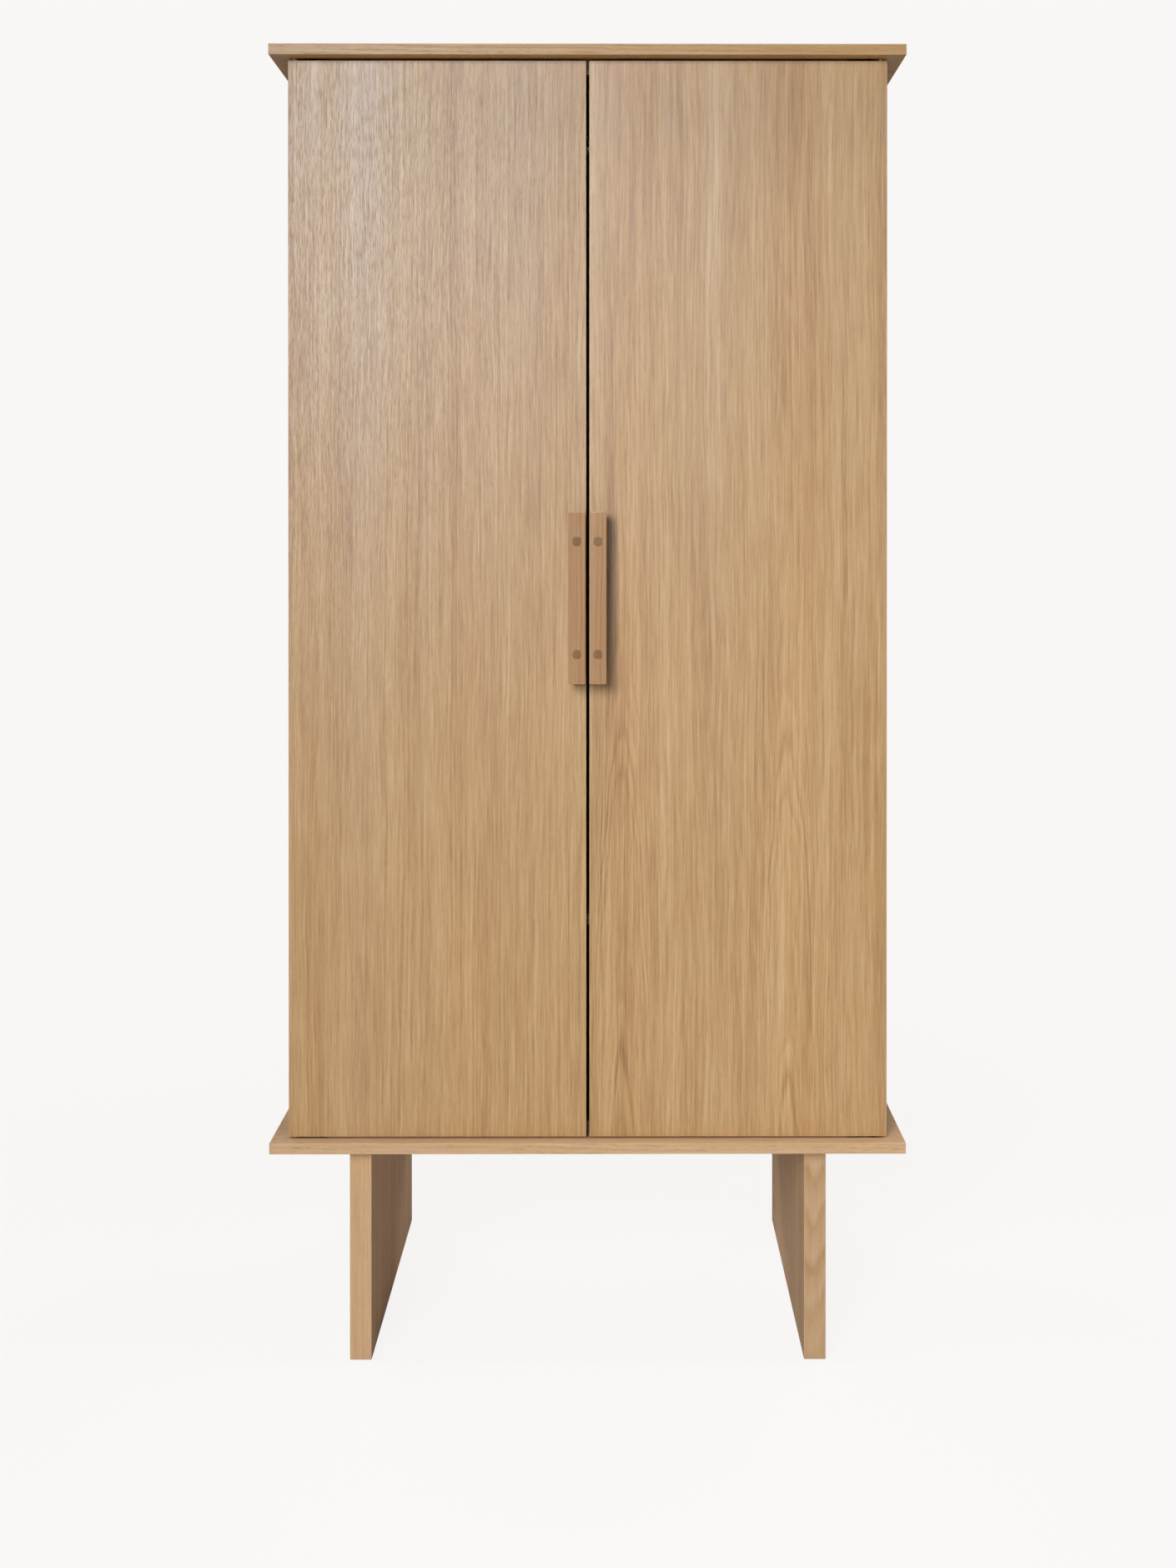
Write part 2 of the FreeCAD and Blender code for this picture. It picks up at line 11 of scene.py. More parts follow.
import bpy
import bmesh
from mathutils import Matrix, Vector


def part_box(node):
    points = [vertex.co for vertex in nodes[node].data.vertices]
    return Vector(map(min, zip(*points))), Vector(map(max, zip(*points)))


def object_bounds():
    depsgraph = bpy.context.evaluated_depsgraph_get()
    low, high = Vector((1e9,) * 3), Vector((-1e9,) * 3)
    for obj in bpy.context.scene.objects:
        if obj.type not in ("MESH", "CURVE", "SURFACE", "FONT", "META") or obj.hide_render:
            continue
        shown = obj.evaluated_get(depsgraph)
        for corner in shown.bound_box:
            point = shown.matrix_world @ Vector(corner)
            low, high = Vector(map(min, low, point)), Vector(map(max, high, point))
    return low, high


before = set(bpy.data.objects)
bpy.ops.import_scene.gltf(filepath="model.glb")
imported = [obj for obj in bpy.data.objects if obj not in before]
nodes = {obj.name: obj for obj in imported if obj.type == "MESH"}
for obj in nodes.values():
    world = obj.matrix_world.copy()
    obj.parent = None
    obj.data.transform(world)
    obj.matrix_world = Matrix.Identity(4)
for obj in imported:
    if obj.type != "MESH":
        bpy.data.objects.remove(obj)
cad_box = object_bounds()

MM = 0.001
width, depth, height = [high - low for low, high in zip(*cad_box)]
print("wardrobe %.3f x %.3f x %.3f m in %d nodes" % (width, depth, height, len(nodes)))

# %% [markdown]
# ## Colours and nodes
# A colour picked from a screen is sRGB, and a shader works in linear light, so one function turns a hex
# value to linear. A second one adds a shader node: it takes settings by name and inputs by name or by
# place, and an input may be a number, a colour or another node, which it then links. A colour ramp also
# takes its stops, each a place from 0 to 1 with a hex colour. Every material below is a chain of such
# calls.

# %% Helpers for materials
def linear(hex_colour):
    channels = [int(hex_colour[start:start + 2], 16) / 255 for start in (1, 3, 5)]
    straight = [c / 12.92 if c <= 0.04045 else ((c + 0.055) / 1.055) ** 2.4 for c in channels]
    return straight + [1.0]


def add(tree, kind, inputs=None, stops=(), **settings):
    node = tree.nodes.new("ShaderNode" + kind)
    for name, value in settings.items():
        setattr(node, name, value)
    for place, colour in stops[2:]:
        node.color_ramp.elements.new(place)
    for index, (place, colour) in enumerate(stops):
        node.color_ramp.elements[index].position = place
        node.color_ramp.elements[index].color = linear(colour)
    for key, value in (inputs or {}).items():
        sockets = [socket for socket in node.inputs if socket.enabled]
        socket = sockets[key] if isinstance(key, int) else next(s for s in sockets if s.name == key)
        if isinstance(value, bpy.types.Node):
            value = next(s for s in value.outputs if s.enabled)
        if isinstance(value, bpy.types.NodeSocket):
            tree.links.new(value, socket)
        else:
            socket.default_value = value
    return node


def new_material(name):
    material = bpy.data.materials.new(name)
    material.use_nodes = True
    material.node_tree.nodes.clear()
    return material, material.node_tree


print("white is", linear("#FFFFFF"))

# %% [markdown]
# ## Oak
# Oak is a ring-porous wood: each year's growth starts with a row of wide open pores and ends in dense,
# pale wood. On a board cut along the trunk the rings show as long stripes, as nested arches where the
# saw passed beside the heart, and the pores as short dark dashes along the grain. A photograph of oak
# could be laid on each face, but it would repeat and would not meet at the edges. Here the wood is a
# solid texture, worked out from the place in the board, so a front edge and a face belong to the same
# piece of wood. Its fibres, stripes and pores are noise that is drawn out along the grain.

# %% Noise along the grain
def along_grain(tree, place, lengths, detail=2.0):
    """Noise with the given lengths in millimetres, across the grain and along it."""
    across, along = lengths
    shrink = (1 / across, 1 / across, 1 / along)
    scaled = add(tree, "VectorMath", {0: place, 1: shrink}, operation="MULTIPLY")
    return add(tree, "TexNoise", {"Vector": scaled, "Scale": 1.0, "Detail": detail, "Roughness": 0.6})


def weighted(tree, value, weight):
    """A value from 0 to 1, centred on zero and multiplied by a weight."""
    centred = add(tree, "Math", {0: value, 1: 0.5}, operation="SUBTRACT")
    return add(tree, "Math", {0: centred, 1: weight}, operation="MULTIPLY")


def total(tree, values):
    result = values[0]
    for value in values[1:]:
        result = add(tree, "Math", {0: result, 1: value}, operation="ADD")
    return result


print("grain noise ready")

# %% [markdown]
# ## The place in the wood
# Each board has its own grain direction: up on doors and panels, sideways on the boards and the shelf,
# and to the back in the handles' dowels. A Mapping node turns the place so that z runs along the grain,
# and counts it in millimetres from the middle of the board's lower front edge. Trunks don't grow dead
# straight, so the place also wanders aside by a few millimetres. A seed, added along the grain, moves the
# noise to another part of the trunk and leaves the rings where they are.

# %% Place in the wood
GRAIN_UP = (0.0, 0.0, 0.0)
GRAIN_SIDEWAYS = (-math.pi / 2, -math.pi / 2, 0.0)
GRAIN_BACK = (math.pi / 2, 0.0, 0.0)
FACE_ASIDE = (0.0, 0.0, math.pi / 2)

WANDER = (80.0, 520.0)
WANDER_ASIDE = (18.0, 10.0, 0.0)


def place_in_wood(tree, origin, box, board):
    """The place in the board, and the same place moved along the grain by the board's seed."""
    low, high = [Vector(corner) for corner in box]
    anchor = Vector(((low.x + high.x) / 2, low.y, low.z))
    from_anchor = add(tree, "VectorMath", {0: origin, 1: anchor}, operation="SUBTRACT")
    place = add(tree, "Mapping", {"Vector": from_anchor, "Rotation": board["turn"],
                                  "Scale": (1 / MM, 1 / MM, 1 / MM)})
    seeded = add(tree, "VectorMath", {0: place, 1: (0.0, 0.0, board["seed"])}, operation="ADD")
    wander = along_grain(tree, seeded, WANDER).outputs["Color"]
    bend = add(tree, "VectorMath", {0: wander, 1: (0.5, 0.5, 0.5)}, operation="SUBTRACT")
    bend = add(tree, "VectorMath", {0: bend, 1: WANDER_ASIDE}, operation="MULTIPLY")
    bent_place = add(tree, "VectorMath", {0: place, 1: bend}, operation="ADD")
    grain = add(tree, "VectorMath", {0: seeded, 1: bend}, operation="ADD")
    return bent_place, grain


print("grain wanders up to %.0f mm aside" % (WANDER_ASIDE[0] / 2))

# %% [markdown]
# ## Veneer leaves and growth rings
# The doors are veneered: the same log is sliced into thin leaves, and the leaves are laid side by side,
# so the figure repeats from leaf to leaf. The fraction of the place across the board gives the place in
# the leaf. The distance from an imagined heart line, divided by the width of a ring, gives the rings.
# The heart line lies behind the face and comes nearer towards one end, which turns straight stripes into
# long arches. A ring is a soft dark line with paler wood between, and some years are darker than others.
# The figure of the right door fades towards its top, and towards the flanks of each leaf, where the saw
# cut the rings upright and they show only as stripes.

# %% Veneer leaves and growth rings
RING_WOBBLE = (14.0, 160.0)
RING_PROFILE = [(0.0, "#B4B4B4"), (0.16, "#000000"), (0.50, "#B4B4B4"), (0.88, "#DCDCDC"), (1.0, "#B4B4B4")]
wobble_rings = 0.8
faded_figure = 0.2


def veneer_leaves(tree, across, board):
    """The number of the leaf that a place lies in, and its distance from that leaf's middle."""
    from_start = add(tree, "Math", {0: across, 1: board["leaf_start"]}, operation="SUBTRACT")
    leaf_count = add(tree, "Math", {0: from_start, 1: board["leaf"]}, operation="DIVIDE")
    leaf_number = add(tree, "Math", {0: leaf_count}, operation="FLOOR")
    in_leaf = add(tree, "Math", {0: leaf_count}, operation="FRACT")
    return leaf_number, weighted(tree, in_leaf, board["leaf"])


def growth_rings(tree, place, aside, board):
    """The tone of the rings, centred on zero."""
    across, into, along = add(tree, "SeparateXYZ", {0: place}).outputs
    heart_aside, heart_depth = board["heart"]
    slope = add(tree, "Math", {0: along, 1: board["taper"]}, operation="MULTIPLY")
    depth_here = total(tree, [into, slope, heart_depth])
    aside_here = add(tree, "Math", {0: aside, 1: heart_aside}, operation="SUBTRACT")
    spoke = add(tree, "CombineXYZ", {0: aside_here, 1: depth_here})
    radius = add(tree, "VectorMath", {0: spoke}, operation="LENGTH").outputs["Value"]
    ring_count = add(tree, "Math", {0: radius, 1: board["ring"]}, operation="DIVIDE")
    wobble = weighted(tree, along_grain(tree, place, RING_WOBBLE), wobble_rings)
    ring_count = add(tree, "Math", {0: ring_count, 1: wobble}, operation="ADD")
    in_ring = add(tree, "Math", {0: ring_count}, operation="FRACT")
    ring_number = add(tree, "Math", {0: ring_count}, operation="FLOOR")
    year = add(tree, "TexWhiteNoise", {"W": ring_number}, noise_dimensions="1D").outputs["Value"]
    profile = add(tree, "ValToRGB", {"Fac": in_ring}, stops=RING_PROFILE)
    tone = add(tree, "Math", {0: weighted(tree, profile, 1.0), 1: year}, operation="MULTIPLY")

    figure_from, figure_to = board["figure"]
    figure = add(tree, "MapRange", {0: along, 1: figure_from, 2: figure_to, 3: 1.0, 4: faded_figure})
    tone = add(tree, "Math", {0: tone, 1: figure}, operation="MULTIPLY")
    flank = add(tree, "Math", {0: aside_here}, operation="ABSOLUTE")
    flank_from, flank_to = board["flank"]
    calm = add(tree, "MapRange", {0: flank, 1: flank_from, 2: flank_to, 3: 1.0, 4: faded_figure})
    return add(tree, "Math", {0: tone, 1: calm}, operation="MULTIPLY")


print("rings in %d tones" % len(RING_PROFILE))

# %% [markdown]
# ## Colour of the wood
# Bands, stripes, fibres, rings and leaves are added up to one tone, and a ramp of oak colours, from dark
# late wood to cream, turns the tone to colour. One strip in each leaf is a little redder, as veneer is
# near the heart of a log. That is why the strip is counted from the leaf's middle: it repeats from leaf
# to leaf as the figure does.

# %% Wood colour
BANDS = (40.0, 1000.0)
STRIPES = (5.0, 600.0)
WARM_TINT = (1.02, 0.95, 0.87)


def strip(tree, across, middle, reach, gain):
    """A soft strip along the grain: the gain in its middle, falling to zero within the reach."""
    away = add(tree, "Math", {0: across, 1: middle}, operation="SUBTRACT")
    away = add(tree, "Math", {0: away}, operation="ABSOLUTE")
    return add(tree, "MapRange", {0: away, 1: 0.0, 2: reach, 3: gain, 4: 0.0},
               interpolation_type="SMOOTHSTEP")


def wood_colour(tree, grain, leaf_number, aside, rings, fibres, board):
    leaf_seed = add(tree, "Math", {0: leaf_number, 1: board["seed"]}, operation="ADD")
    leaf_tone = add(tree, "TexWhiteNoise", {"W": leaf_seed}, noise_dimensions="1D").outputs["Value"]
    tone = total(tree, [
        weighted(tree, along_grain(tree, grain, BANDS), board["bands"]),
        weighted(tree, along_grain(tree, grain, STRIPES), board["stripes"]),
        weighted(tree, fibres, board["fibres"]),
        weighted(tree, leaf_tone, board["leaves"]),
        add(tree, "Math", {0: rings, 1: board["rings"]}, operation="MULTIPLY"),
    ])
    tone = add(tree, "Math", {0: tone, 1: 0.5}, operation="ADD")
    colour = add(tree, "ValToRGB", {"Fac": tone}, stops=board["tones"])
    redder = add(tree, "VectorMath", {0: colour, 1: WARM_TINT}, operation="MULTIPLY")
    warm_share = strip(tree, aside, *board["warm"])
    return add(tree, "Mix", {"Factor": warm_share, "A": colour, "B": redder}, data_type="RGBA")


print("bands %.0f mm and stripes %.0f mm wide" % (BANDS[0], STRIPES[0]))

# %% [markdown]
# ## Open pores
# Pores are short dark dashes, most of them in the dark part of a ring. They could be cut as grooves, but
# there are many thousands of them on a door, so a threshold on fine noise marks them instead. At the upper
# left of the left door longer dashes are added, in a zone that fades outwards from a point near the door's
# edge. They are partly the more open wood that this leaf was cut from and partly painted shade: their
# darkening makes that corner of the door darker. Pores are finer on real oak: they are drawn about as
# wide as one pixel of the picture, so that they show.

# %% Pores
PORES = (1.2, 13.0)
DASHES = (1.3, 18.0)
pore_from, pore_to = 0.57, 0.70
dash_from, dash_to = 0.48, 0.64
zone_from, zone_to = 0.3, 1.0
pores_by_ring = -0.35


def open_pores(tree, origin, grain, rings, board):
    """A mask of the pores, and the share by which they darken the wood."""
    by_ring = add(tree, "Math", {0: rings, 1: pores_by_ring}, operation="MULTIPLY")
    noise = add(tree, "Math", {0: along_grain(tree, grain, PORES), 1: by_ring}, operation="ADD")
    pores = add(tree, "MapRange", {0: noise, 1: pore_from, 2: pore_to, 3: 0.0, 4: 1.0})
    share = add(tree, "Math", {0: pores, 1: board["pores"]}, operation="MULTIPLY")
    # Upper left of the left door: longer dashes, partly open wood and partly painted shade that darkens
    # that corner
    if board["coarse_pores_and_shade"]:
        centre, reach, darkening = board["coarse_pores_and_shade"]
        away = add(tree, "VectorMath", {0: origin, 1: centre}, operation="SUBTRACT")
        away = add(tree, "VectorMath", {0: away, 1: reach}, operation="DIVIDE")
        away = add(tree, "VectorMath", {0: away}, operation="LENGTH").outputs["Value"]
        zone = add(tree, "MapRange", {0: away, 1: zone_from, 2: zone_to, 3: 1.0, 4: 0.0})
        dashes = add(tree, "MapRange", {0: along_grain(tree, grain, DASHES), 1: dash_from, 2: dash_to})
        dashes = add(tree, "Math", {0: dashes, 1: zone}, operation="MULTIPLY")
        dash_and_shade_share = add(tree, "Math", {0: dashes, 1: darkening}, operation="MULTIPLY")
        pores = add(tree, "Math", {0: pores, 1: dashes}, operation="MAXIMUM")
        share = add(tree, "Math", {0: share, 1: dash_and_shade_share}, operation="MAXIMUM")
    return pores, share


print("pores %.1f x %.0f mm, dashes %.1f x %.0f mm" % (PORES + DASHES))

# %% [markdown]
# ## Worn edges and painted edge highlights
# On the eased edges lacquer is thin and wood is bare and pale. The same pale mark is also a painted
# highlight: it lightens every arris alike, also those that face down, away from the lamps. The edges could
# be masked by a bevel shader or by painting. A board is a box, so the distances from its sides give the
# mask: it is one where two of them are near zero.

# %% Worn edges and painted edge highlights
def arris_mask(tree, place, box, reach):
    """One along the edges of a board's box, falling to zero within the reach, in metres."""
    low, high = [Vector(corner) for corner in box]
    centred = add(tree, "VectorMath", {0: place, 1: (low + high) / 2}, operation="SUBTRACT")
    folded = add(tree, "VectorMath", {0: centred}, operation="ABSOLUTE")
    inside = add(tree, "VectorMath", {0: (high - low) / 2, 1: folded}, operation="SUBTRACT")
    parts = add(tree, "SeparateXYZ", {0: inside}).outputs
    near = [add(tree, "MapRange", {0: part, 1: 0.0, 2: reach, 3: 1.0, 4: 0.0}) for part in parts]
    pairs = [add(tree, "Math", {0: near[a], 1: near[b]}, operation="MULTIPLY")
             for a, b in ((0, 1), (1, 2), (0, 2))]
    most = add(tree, "Math", {0: pairs[0], 1: pairs[1]}, operation="MAXIMUM")
    return add(tree, "Math", {0: most, 1: pairs[2]}, operation="MAXIMUM")


worn_and_highlit_reach = 2.0 * MM
worn_and_highlit_share = 0.35
print("edges worn over %.0f mm" % (worn_and_highlit_reach / MM))

# %% [markdown]
# ## Satin lacquer
# The doors have a satin lacquer that fills most pores and mirrors what is bright in a soft blur. It is the
# coat of the shader, rougher than a gloss lacquer. It lies thicker in some strips than in others, as it
# does where a leaf took up less of it, and thinner in open pores. On the other boards the film is so thin
# that the shader's own gloss is enough, and they have no coat. The bump follows the fibres and the pores
# that stay open.

# %% Lacquer
GLOSS = (50.0, 700.0)
coat_in_pores = 0.6
coat_roughness = 0.48
lacquer_ior = 1.5
rough_by_fibre = -0.12
rough_by_pore = 0.14
relief_strength = 0.25
relief_depth = 0.25 * MM


def lacquer_coat(tree, across, grain, pores, board):
    """How thick the lacquer lies, from its clouds, its glossier strip and the pores."""
    gloss = weighted(tree, along_grain(tree, grain, GLOSS), 1.0)
    coat = total(tree, [gloss, strip(tree, across, *board["sheen"]), board["coat"]])
    filled = add(tree, "MapRange", {0: pores, 1: 0.0, 2: 1.0, 3: 1.0, 4: coat_in_pores})
    return add(tree, "Math", {0: coat, 1: filled}, operation="MULTIPLY")


def finished_wood(tree, colour, fibres, pores, coat, board):
    pore_rough = add(tree, "Math", {0: pores, 1: rough_by_pore}, operation="MULTIPLY")
    rough = total(tree, [weighted(tree, fibres, rough_by_fibre), pore_rough, board["rough"]])
    relief = add(tree, "Math", {0: fibres, 1: pores}, operation="SUBTRACT")
    bump = add(tree, "Bump", {"Height": relief, "Strength": relief_strength, "Distance": relief_depth})
    return add(tree, "BsdfPrincipled", {
        "Base Color": colour, "Roughness": rough, "Normal": bump, "IOR": lacquer_ior,
        "Specular IOR Level": board["specular"], "Coat Weight": coat, "Coat Roughness": coat_roughness,
        "Coat IOR": lacquer_ior, "Coat Normal": bump})


print("lacquer of roughness %.2f" % coat_roughness)

# %% [markdown]
# ## The oak material
# All of this makes one board's material. A plain board holds the usual values, with lengths in
# millimetres and weights for what is added to the tone, and each real board below says only what is
# different about its own wood.

# %% The oak material
# Fibres are finer on real oak too, and are drawn as coarse as they need to be to show
FIBRES = (1.8, 75.0)
OAK_TONES = [(0.0, "#8F673B"), (0.30, "#AC8351"), (0.50, "#BC9561"), (0.70, "#C7A474"), (1.0, "#D8BC90")]
OAK_PORE = "#73522F"
# Pale edge colour: bare wood where the lacquer wore, and partly a painted highlight on the arrises
OAK_WORN_AND_HIGHLIT = "#D2B48C"

# A plain board has no glossier or redder strip, and its figure fades only far past its ends
NO_STRIP = (0.0, 1.0, 0.0)
NOWHERE_NEAR = (5000.0, 6000.0)

PLAIN_BOARD = {
    "turn": GRAIN_UP, "seed": 0.0, "tones": OAK_TONES, "leaf": 246.0, "leaf_start": 0.0, "leaves": 0.06,
    "heart": (150.0, 40.0), "taper": 0.02, "ring": 6.0, "figure": NOWHERE_NEAR, "flank": NOWHERE_NEAR,
    "rings": 0.30, "bands": 0.52, "stripes": 0.45, "fibres": 0.75, "warm": NO_STRIP,
    "pores": 0.30, "coarse_pores_and_shade": None, "rough": 0.5, "specular": 0.5, "coat": 0.0, "sheen": NO_STRIP,
}


# Sawn oak under satin lacquer: honey-brown with long darker stripes and fine dashes, softly shining
def oak(name, box, **changes):
    board = {**PLAIN_BOARD, **changes}
    material, tree = new_material(name)
    origin = add(tree, "TexCoord").outputs["Object"]
    place, grain = place_in_wood(tree, origin, box, board)
    across = add(tree, "SeparateXYZ", {0: place}).outputs["X"]
    leaf_number, aside = veneer_leaves(tree, across, board)
    rings = growth_rings(tree, place, aside, board)
    fibres = along_grain(tree, grain, FIBRES, detail=3.0)
    pores, pore_share = open_pores(tree, origin, grain, rings, board)
    # Pale edges: partly wear, partly a painted highlight on every arris, also those facing down
    worn_and_highlit = add(tree, "Math", {0: arris_mask(tree, origin, box, worn_and_highlit_reach), 1: worn_and_highlit_share},
               operation="MULTIPLY")

    colour = wood_colour(tree, grain, leaf_number, aside, rings, fibres, board)
    colour = add(tree, "Mix", {"Factor": pore_share, "A": colour, "B": linear(OAK_PORE)}, data_type="RGBA")
    colour = add(tree, "Mix", {"Factor": worn_and_highlit, "A": colour, "B": linear(OAK_WORN_AND_HIGHLIT)}, data_type="RGBA")
    coat = lacquer_coat(tree, across, grain, pores, board) if board["coat"] else 0.0
    shader = finished_wood(tree, colour, fibres, pores, coat, board)
    add(tree, "OutputMaterial", {"Surface": shader})
    return material


print("oak tones:", " ".join(colour for place, colour in OAK_TONES))

# %% [markdown]
# ## Kinds of wood
# Legs, handle bars, dowels and the fixing rail are solid wood, so they are one leaf, wider than the piece.
# The legs and the bottom board are paler than the doors, the right leg a little less so. The bars are a
# redder, closer wood, and the dowels show their end grain, which drinks lacquer and turns dark. What the
# pieces of one kind share is written once here.

# %% Kinds of wood
LEG_TONES = [(0.0, "#A07B53"), (0.30, "#BE986D"), (0.50, "#CDA981"), (0.70, "#D6B793"), (1.0, "#E2CBAC")]
DARK_LEG_TONES = [(0.0, "#967350"), (0.30, "#B28E66"), (0.50, "#C09E79"), (0.70, "#C8AB8A"),
                  (1.0, "#D4BEA1")]
HANDLE_TONES = [(0.0, "#7F5939"), (0.30, "#9D754F"), (0.50, "#AE865E"), (0.70, "#B8936F"), (1.0, "#C9A888")]
DOWEL_TONES = [(0.0, "#5B3E25"), (0.30, "#775738"), (0.50, "#886543"), (0.70, "#957350"), (1.0, "#AA8866")]

SOLID_WOOD = {"leaf": 2000.0, "leaf_start": -1000.0}
LEG_WOOD = {**SOLID_WOOD, "fibres": 0.4, "pores": 0.12, "rough": 0.6, "specular": 0.15}
HANDLE_WOOD = {**SOLID_WOOD, "tones": HANDLE_TONES, "stripes": 0.25, "fibres": 0.35, "pores": 0.08,
               "rough": 0.55, "specular": 0.3}
DOWEL_WOOD = {**SOLID_WOOD, "turn": GRAIN_BACK, "tones": DOWEL_TONES, "heart": (10.0, 12.0), "ring": 2.0,
              "rings": 0.15, "stripes": 0.1, "fibres": 0.2, "pores": 0.05, "rough": 0.6, "specular": 0.3}
THIN_BOARD = {"turn": GRAIN_SIDEWAYS, "stripes": 0.3, "fibres": 0.45}
print("leg, dark leg, handle and dowel middle tones:",
      " ".join(tones[2][1] for tones in (LEG_TONES, DARK_LEG_TONES, HANDLE_TONES, DOWEL_TONES)))

# %% [markdown]
# ## Each board's own piece of wood
# No two boards are cut from the same place, so each has its own seed, and what the photograph shows of
# it: broad arches at the foot of the right door, open coarse pores at the upper left of the left door,
# with painted shade that darkens that corner, and arches that hang down in the right leg. A material for
# each board is a little more to keep than one for all, but it lets every board have its own grain.

# %% Dress the boards
boards = {
    "left_door": {"seed": 3100.0, "rings": 0.16, "stripes": 0.5, "fibres": 0.95,
                  "warm": (-78.0, 50.0, 0.35), "pores": 0.12,
                  # Longer dashes at the upper left: partly open wood, partly painted shade darkening that
                  # corner
                  "coarse_pores_and_shade": ((-0.46, -0.25, 1.65), (0.52, 1.0, 1.1), 0.31),
                  "coat": 0.8, "sheen": (-111.0, 55.0, 0.5)},
    "right_door": {"seed": 0.0, "leaf_start": -48.0, "heart": (0.0, 70.0), "taper": 0.02, "ring": 1.9,
                   "figure": (400.0, 900.0), "flank": (35.0, 90.0), "rings": 0.46, "bands": 0.65,
                   "stripes": 0.65, "fibres": 1.0, "warm": (15.0, 60.0, 0.5), "pores": 0.12,
                   "coat": 0.8, "sheen": (-31.0, 50.0, 0.25)},
    "left_side_panel": {"turn": FACE_ASIDE, "seed": 7000.0},
    "right_side_panel": {"turn": FACE_ASIDE, "seed": 9000.0},
    "back_panel": {"seed": 12000.0},
    "top_board": {**THIN_BOARD, "seed": 15000.0},
    "bottom_board": {**THIN_BOARD, "seed": 18000.0, "tones": LEG_TONES},
    "shelf": {"turn": GRAIN_SIDEWAYS, "seed": 21000.0},
    "fixing_rail": {**SOLID_WOOD, "turn": GRAIN_SIDEWAYS, "seed": 24000.0},
    "left_leg": {**LEG_WOOD, "seed": 27000.0, "tones": LEG_TONES, "rings": 0.15, "stripes": 0.35},
    "right_leg": {**LEG_WOOD, "seed": 30000.0, "tones": DARK_LEG_TONES, "heart": (-3.0, 85.0),
                  "taper": -0.105, "ring": 7.0, "rings": 0.45, "stripes": 0.2},
    "left_handle_bar": {**HANDLE_WOOD, "seed": 33000.0},
    "right_handle_bar": {**HANDLE_WOOD, "seed": 36000.0},
    "left_handle_dowels": {**DOWEL_WOOD, "seed": 39000.0},
    "right_handle_dowels": {**DOWEL_WOOD, "seed": 42000.0},
}
for node, changes in boards.items():
    wood = oak("lacquered_oak_" + node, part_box(node), **changes)
    slots = nodes[node].data.materials
    for index in range(len(slots)):
        slots[index] = wood
print("oak on %d boards" % len(boards))

# %% [markdown]
# ## Beech and nylon
# The fittings are small and mostly inside. Beech dowels are plain, fine-pored wood with short brown
# flecks, so two noises do: fibres for the tone, and flecks above a threshold. The catches and glides are
# moulded nylon: its colour clouds a little where it cooled, and its mould was eroded, which leaves a fine
# grained surface. That grain is bump, since it is a few hundredths of a millimetre deep. Flecks and grain
# are finer on the real pieces, and are drawn as coarse as they need to be to show.

# %% Beech and nylon
BEECH_FIBRES = (0.8, 12.0)
BEECH_FLECKS = (0.5, 3.0)
fleck_from, fleck_to = 0.62, 0.70
fleck_darkening = 0.6
nylon_clouds = 9 * MM
nylon_grain = 0.4 * MM


# Turned beech: pale pinkish brown and matt, with short darker flecks
def beech(name):
    material, tree = new_material(name)
    place = add(tree, "Mapping", {"Vector": add(tree, "TexCoord").outputs["Object"],
                                  "Scale": (1 / MM, 1 / MM, 1 / MM)})
    fibres = along_grain(tree, place, BEECH_FIBRES)
    flecks = along_grain(tree, place, BEECH_FLECKS, detail=0.0)
    fleck_share = add(tree, "MapRange", {0: flecks, 1: fleck_from, 2: fleck_to, 3: 0.0, 4: fleck_darkening})
    wood = add(tree, "ValToRGB", {"Fac": fibres}, stops=[(0.25, "#C0905F"), (0.75, "#DDB88A")])
    colour = add(tree, "Mix", {"Factor": fleck_share, "A": wood, "B": linear("#8E5F38")}, data_type="RGBA")
    shader = add(tree, "BsdfPrincipled", {"Base Color": colour, "Roughness": 0.6, "IOR": 1.5})
    add(tree, "OutputMaterial", {"Surface": shader})
    return material


# Moulded nylon: dull brown, with a broad soft highlight that its grain breaks up
def nylon(name):
    material, tree = new_material(name)
    place = add(tree, "TexCoord").outputs["Object"]
    clouds = add(tree, "TexNoise", {"Vector": place, "Scale": 1 / nylon_clouds, "Detail": 3.0})
    grit = add(tree, "TexNoise", {"Vector": place, "Scale": 1 / nylon_grain, "Detail": 1.0})
    colour = add(tree, "ValToRGB", {"Fac": clouds}, stops=[(0.3, "#7D6953"), (0.7, "#94806A")])
    rough = add(tree, "MapRange", {0: clouds, 1: 0.3, 2: 0.7, 3: 0.42, 4: 0.55})
    bump = add(tree, "Bump", {"Height": grit, "Strength": 0.2, "Distance": 0.05 * MM})
    shader = add(tree, "BsdfPrincipled", {"Base Color": colour, "Roughness": rough, "Normal": bump,
                                          "IOR": 1.53})
    add(tree, "OutputMaterial", {"Surface": shader})
    return material


print("nylon grain %.1f mm" % (nylon_grain / MM))

# %% [markdown]
# ## Metals
# Hinges, rail, screws and locks are metal. They share one recipe: a metallic shader whose tone and
# roughness vary with brushing, in lines of a given width and length, and with cloudy patches where
# plating has dulled. One recipe keeps them alike, as fittings from one box are. Real brushing is finer
# than these half-millimetre lines, which are drawn that coarse to show.

# %% Metals
metal_clouds = 14.0


